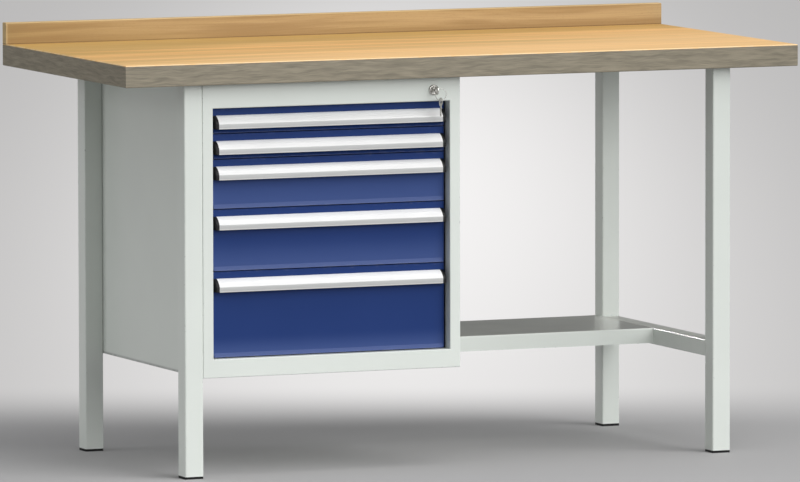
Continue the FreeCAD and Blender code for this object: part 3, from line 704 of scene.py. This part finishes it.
# Painted sheen tone, and the arris tone for rubbed wear and a painted highlight.
sheen_beech, arris_wear_and_highlight = (0.98, 0.66, 0.33), (0.90, 0.74, 0.48)
band_tones = (0.320, 0.282, 0.209), (0.188, 0.167, 0.124)
dress(worktop_beech(top_tones, sheen_beech, arris_wear_and_highlight, *band_tones), "worktop")

# Rear upstand: a beech strip of 20 by 45 mm, cut from a darker board and oiled. It stands along the
# rear edge of the worktop, held by screws from below, and keeps small parts from rolling off.
top_arris, end_arris, joint_dark, joint_clear = 0.003, 0.006, 0.0008, 0.0022


def upstand_beech(tones, arris_highlight_tone, joint_shade_tone):
    """The upstand's finish: beech of a darker board, painted paler along its top edge and its left end
    as a highlight, and painted dark at the joint below as shade.
    """
    material, tree, shader, place = surface("upstand_beech")
    low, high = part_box("rear_upstand")
    x, _, height = axes(tree, place)
    face, grain = beech_face(tree, place, times(tree, x, 0.22), tones, 0.6)
    # Painted highlight along the top edge and the left end.
    along_top = fade(tree, height, high.z - top_arris, high.z)
    arris_highlight = reckon(tree, "MAXIMUM", along_top, fade(tree, x, low.x + end_arris, low.x))
    face = tint(tree, times(tree, arris_highlight, 0.35), face, arris_highlight_tone)
    # Painted shade at the joint with the worktop.
    joint_shade = fade(tree, height, low.z + joint_dark, low.z + joint_clear, 0.75, 0.0)
    oil_finish(tree, shader, tint(tree, joint_shade, face, joint_shade_tone), grain["Fibre"])
    return material


upstand_tones = (0.385, 0.25, 0.083), (0.545, 0.375, 0.185), (0.29, 0.168, 0.06)
# Painted highlight tone for the arrises and painted shade tone for the joint.
upstand_arris_highlight, upstand_joint_shade = (0.85, 0.66, 0.36), (0.13, 0.075, 0.03)
dress(upstand_beech(upstand_tones, upstand_arris_highlight, upstand_joint_shade), "rear_upstand")

# Floor, light and camera: a pale matt studio floor under a broad front light from the right, with a
# low soft box in front, one overhead, one at the left, and a narrow one behind for the shine along
# the cross rail. The camera stands 20 m off with a long lens.
view_turn, view_rise = math.radians(23.091), math.radians(5.2097)
view_roll = math.radians(-0.1053)
floor_reach, black = 40.0, (0.0, 0.0, 0.0)
glow_least, glow_rise, glow_half, glow_middle, glow_length = 0.47, 0.43, 0.85, 6.0, 9.0


def pale_floor(name, near, glow_tone):
    """A matt floor that keeps the bench's shadow. Beyond it, a soft glow seen by camera and mirrors
    alone pales it: least + rise exp(-(side / half)^2 - ((depth - middle) / length)^2), in metres
    across and along the view.
    """
    material, tree, shader, place = surface(name)
    turn = {"Vector": place, "Rotation": (0.0, 0.0, view_turn)}
    side, depth, _ = axes(tree, wire(tree, "ShaderNodeMapping", turn).outputs[0])
    aside = reckon(tree, "POWER", reckon(tree, "DIVIDE", side, glow_half), 2.0)
    past = reckon(tree, "DIVIDE", reckon(tree, "SUBTRACT", depth, glow_middle), glow_length)
    spread = reckon(tree, "ADD", aside, reckon(tree, "POWER", past, 2.0))
    fall_off = reckon(tree, "EXPONENT", times(tree, spread, -1.0))
    glow = reckon(tree, "ADD", glow_least, times(tree, fall_off, glow_rise))
    away = wire(tree, "ShaderNodeVectorMath", {0: place}, operation="LENGTH").outputs["Value"]
    far = reckon(tree, "MAXIMUM", fade(tree, depth, 0.4, 1.3), fade(tree, away, 1.2, 2.6))
    path = wire(tree, "ShaderNodeLightPath").outputs
    seen = reckon(tree, "MAXIMUM", path["Is Camera Ray"], path["Is Glossy Ray"])
    seen = reckon(tree, "MAXIMUM", seen, path["Is Transmission Ray"])
    glowing = times(tree, times(tree, far, glow), seen)
    tree.links.new(tint(tree, far, near, black), shader["Base Color"])
    tree.links.new(tint(tree, glowing, black, glow_tone), shader["Emission Color"])
    shader["Emission Strength"].default_value = 1.0
    shader["Roughness"].default_value = 0.7
    shader["Specular IOR Level"].default_value = 0.15
    return material


floor_corners = [(-1, -1), (1, -1), (1, 1), (-1, 1)]
ground = bpy.data.meshes.new("floor")
ground.from_pydata([(floor_reach * x, floor_reach * y, 0.0) for x, y in floor_corners], [],
                   [(0, 1, 2, 3)])
ground.materials.append(pale_floor("floor_grey", (0.435, 0.43, 0.43), (1.0, 0.985, 0.98)))
floor = bpy.data.objects.new("floor", ground)
bpy.context.scene.collection.objects.link(floor)


def softbox(name, place, aim, size, power):
    """A rectangular lamp at a place, turned to an aim."""
    lamp = bpy.data.lights.new(name, "AREA")
    lamp.shape = "RECTANGLE"
    lamp.size, lamp.size_y = size
    lamp.energy = power
    holder = bpy.data.objects.new(name, lamp)
    turn = (Vector(aim) - Vector(place)).to_track_quat("-Z", "Y").to_matrix().to_4x4()
    holder.matrix_world = Matrix.Translation(place) @ turn
    bpy.context.scene.collection.objects.link(holder)
    return holder


def broad_light(name, from_right, above, spread, strength):
    """A far soft lamp that lights the whole bench evenly, so many degrees right of the front and
    above the floor.
    """
    lamp = bpy.data.lights.new(name, "SUN")
    lamp.angle = math.radians(spread)
    lamp.energy = strength
    holder = bpy.data.objects.new(name, lamp)
    a, e = math.radians(from_right), math.radians(above)
    way = Vector((-math.sin(a) * math.cos(e), math.cos(a) * math.cos(e), -math.sin(e)))
    holder.rotation_euler = way.to_track_quat("-Z", "Y").to_euler()
    bpy.context.scene.collection.objects.link(holder)


broad_light("front_light", 32.0, 27.0, 50.0, 1.8)
softbox("low_softbox", (-0.2, -3.0, 1.3), (0.0, 0.0, 0.5), (1.6, 1.0), 16.0)
softbox("top_softbox", (0.6, -1.2, 4.2), (0.0, -0.1, 0.8), (2.8, 2.2), 55.0)
softbox("left_softbox", (-4.0, 0.9, 1.3), (-0.4, 0.0, 0.5), (2.2, 2.0), 33.0)
gridded = softbox("rear_softbox", (-0.5, 4.15, 1.55), (0.68, 0.0, 0.28), (1.0, 0.8), 2.2)
gridded.data.spread = math.radians(25.0)
gridded.visible_camera = gridded.visible_diffuse = False


def studio_world(horizon, zenith):
    """A plain studio: dim at the horizon and paler overhead, by the sine of the direction's height."""
    world = bpy.data.worlds.new("studio")
    world.use_nodes = True
    tree, sky = world.node_tree, world.node_tree.nodes["Background"].inputs
    height = axes(tree, wire(tree, "ShaderNodeTexCoord").outputs["Generated"])["Z"]
    tree.links.new(fade(tree, height, 0.0, 0.8, horizon, zenith), sky["Strength"])
    sky["Color"].default_value = (0.97, 0.98, 1.0, 1.0)
    return world


bpy.context.scene.world = studio_world(0.03, 0.54)
bpy.context.scene.view_settings.view_transform = "Standard"

view_distance, view_aim = 20.4277, Vector((0.03795, 0.08930, 0.42961))
level = math.cos(view_rise)
back = Vector((-math.sin(view_turn) * level, -math.cos(view_turn) * level, math.sin(view_rise)))
level_right = Vector((math.cos(view_turn), -math.sin(view_turn), 0.0))
level_up = back.cross(level_right)
right = level_right * math.cos(view_roll) + level_up * math.sin(view_roll)
up = level_up * math.cos(view_roll) - level_right * math.sin(view_roll)
lens = bpy.data.cameras.new("camera")
lens.sensor_width = 36.0
lens.lens = 438.9
lens.clip_end = 100.0
camera = bpy.data.objects.new("camera", lens)
view_axes = Matrix((right, up, back)).transposed().to_4x4()
camera.matrix_world = Matrix.Translation(view_aim + back * view_distance) @ view_axes
bpy.context.scene.collection.objects.link(camera)
bpy.context.scene.camera = camera
